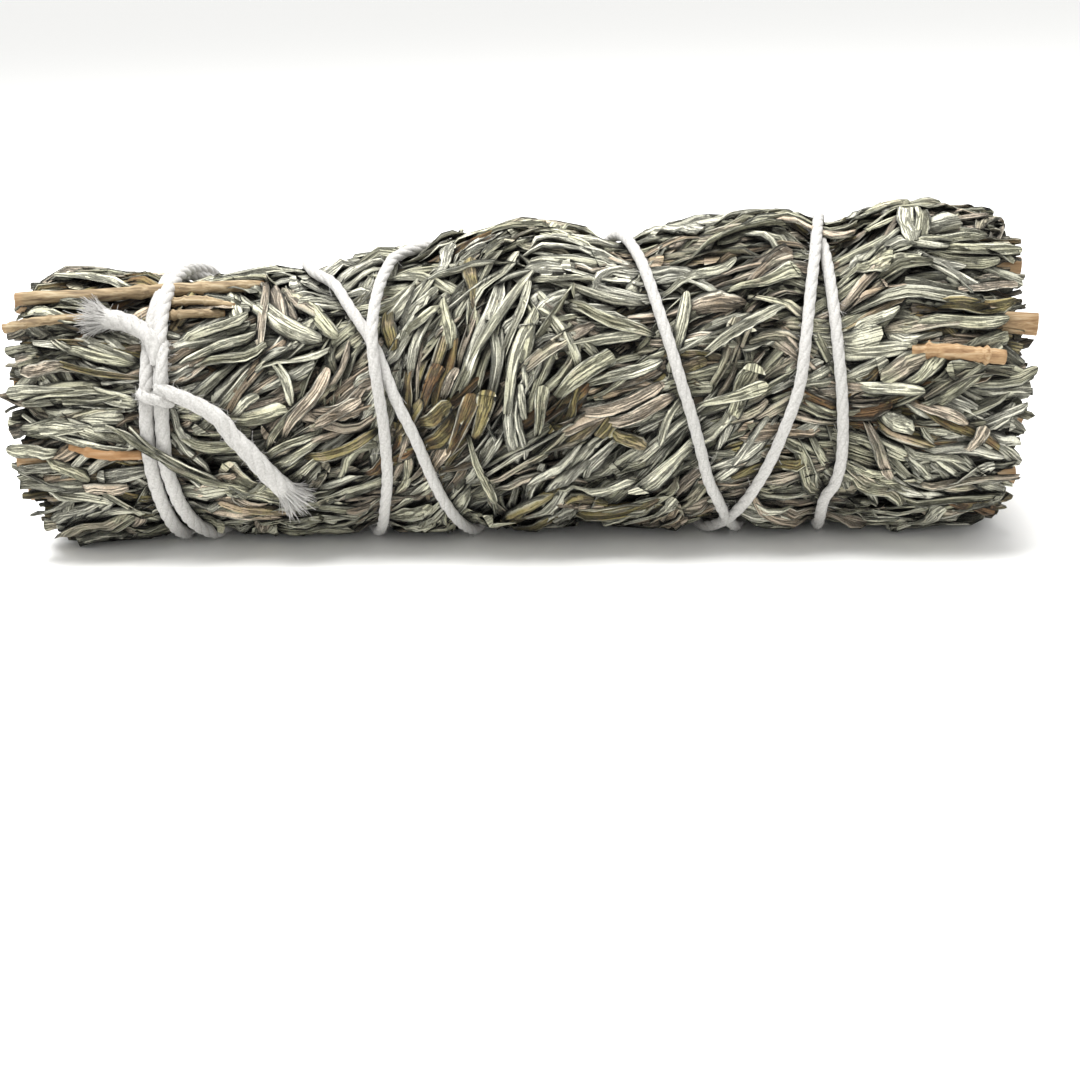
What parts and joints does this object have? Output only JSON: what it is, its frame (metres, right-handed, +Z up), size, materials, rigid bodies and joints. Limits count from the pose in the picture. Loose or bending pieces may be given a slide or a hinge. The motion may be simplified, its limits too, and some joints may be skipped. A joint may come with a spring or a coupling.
{
  "type": "dried sage bunch",
  "caption": "Small bundle of dried sage sprigs laid side by side, pressed into a log and wound with white cotton string tied in a knot with frayed tails.",
  "frame": {"origin": "under the middle of the bundle, on the surface that it lies on", "axes": "+X along the bundle towards its thicker end, +Z up, -Y towards the side where the string is knotted"},
  "size_m": [0.1087, 0.0372, 0.0344],
  "materials": {
    "sage_leaves_green": "dry felted grey-green leaf",
    "sage_leaves_grey": "dry felted pinkish-grey leaf",
    "sage_leaves_olive": "dry olive-green leaf",
    "woody_stem": "dry brown bark with tan pith at the cuts",
    "cotton_string": "soft matte spun cotton"
  },
  "bodies": {
    "root": {"outer_sprig_1_leaves": "sage_leaves_grey", "outer_sprig_1_stem": "woody_stem", "outer_sprig_2_leaves": "sage_leaves_green", "outer_sprig_2_stem": "woody_stem", "outer_sprig_3_leaves": "sage_leaves_olive", "outer_sprig_3_stem": "woody_stem", "outer_sprig_4_leaves": "sage_leaves_grey", "outer_sprig_4_stem": "woody_stem", "outer_sprig_5_leaves": "sage_leaves_green", "outer_sprig_5_stem": "woody_stem", "outer_sprig_6_leaves": "sage_leaves_green", "outer_sprig_6_stem": "woody_stem", "outer_sprig_7_leaves": "sage_leaves_grey", "outer_sprig_7_stem": "woody_stem", "outer_sprig_8_leaves": "sage_leaves_olive", "outer_sprig_8_stem": "woody_stem", "outer_sprig_9_leaves": "sage_leaves_green", "outer_sprig_9_stem": "woody_stem", "inner_sprig_1_leaves": "sage_leaves_green", "inner_sprig_1_stem": "woody_stem", "inner_sprig_2_leaves": "sage_leaves_green", "inner_sprig_2_stem": "woody_stem", "inner_sprig_3_leaves": "sage_leaves_grey", "inner_sprig_3_stem": "woody_stem", "inner_sprig_4_leaves": "sage_leaves_green", "inner_sprig_4_stem": "woody_stem", "cotton_string": "cotton_string"}
  },
  "joints": []
}
